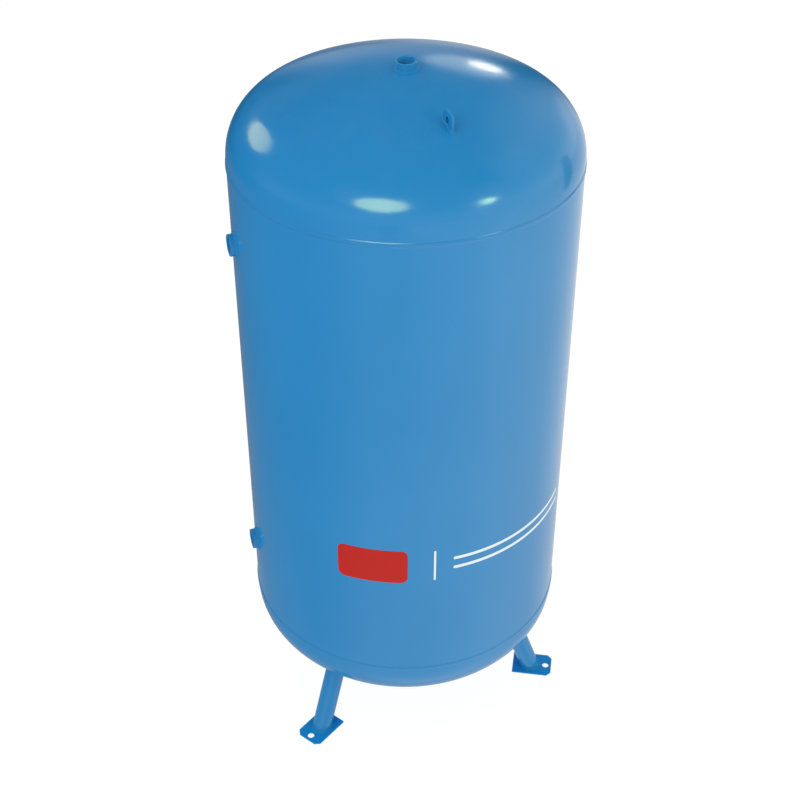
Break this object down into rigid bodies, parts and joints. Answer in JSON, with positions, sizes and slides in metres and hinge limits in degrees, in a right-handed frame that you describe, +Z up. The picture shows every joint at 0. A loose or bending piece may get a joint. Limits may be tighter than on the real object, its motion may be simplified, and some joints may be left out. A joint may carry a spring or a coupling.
{
  "type": "vertical air receiver tank",
  "caption": "Upright compressed-air receiver: welded cylindrical shell with dished heads on splayed tube legs, threaded air ports, lifting lug and a drain valve underneath.",
  "frame": {"origin": "on the vessel axis at floor level: centre of the anchor-hole circle, in the plane of the undersides of the foot plates", "axes": "+Z up along the vessel axis; -Y is the front, where the lifting lug is, with its hole looking along X; the two side air ports leave close to -X, turned 3.75 degrees to the rear; the rear leg stands towards +Y"},
  "size_m": [1.1365, 1.1325, 2.4833],
  "materials": {
    "blue_enamel": "gloss enamel",
    "brass": "machined, satin",
    "chromed_ball": "polished",
    "zinc_steel": "bright zinc plated",
    "ptfe": "white, waxy",
    "sleeve_vinyl": "dip-moulded vinyl",
    "plate_aluminium": "brushed, unmarked",
    "decal_red": "cast vinyl film",
    "decal_white": "cast vinyl film"
  },
  "bodies": {
    "vessel": {"shell": "blue_enamel", "longitudinal_weld": "blue_enamel", "top_head": "blue_enamel", "bottom_head": "blue_enamel", "top_girth_weld": "blue_enamel", "bottom_girth_weld": "blue_enamel", "top_port_socket": "blue_enamel", "top_port_weld": "blue_enamel", "upper_side_socket": "blue_enamel", "upper_side_weld": "blue_enamel", "lower_side_socket": "blue_enamel", "lower_side_weld": "blue_enamel", "lifting_lug": "blue_enamel", "lifting_lug_weld": "blue_enamel", "leg_left": "blue_enamel", "leg_right": "blue_enamel", "leg_rear": "blue_enamel", "foot_plate_left": "blue_enamel", "foot_plate_right": "blue_enamel", "foot_plate_rear": "blue_enamel", "leg_top_welds": "blue_enamel", "leg_foot_welds": "blue_enamel", "drain_socket": "blue_enamel", "drain_socket_weld": "blue_enamel", "data_plate_bracket": "blue_enamel", "data_plate_bracket_welds": "blue_enamel", "drain_nipple": "brass", "drain_valve_body": "brass", "drain_valve_outlet": "brass", "packing_nut": "brass", "valve_seat_rings": "ptfe", "stem_packing": "ptfe", "data_plate": "plate_aluminium", "data_plate_rivets": "plate_aluminium", "emblem_panel": "decal_red", "emblem_rule": "decal_white", "label_bars": "decal_white"},
    "drain_lever": {"valve_ball": "chromed_ball", "valve_stem": "brass", "valve_lever": "zinc_steel", "lever_sleeve": "sleeve_vinyl", "lever_nut": "zinc_steel"}
  },
  "joints": [
    {"name": "drain_valve_turn", "type": "hinge", "parent": "vessel", "child": "drain_lever", "pos_m": [0, -0.04, 0.14374], "axis": [0, 1, 0], "range_deg": [0, 90]}
  ]
}
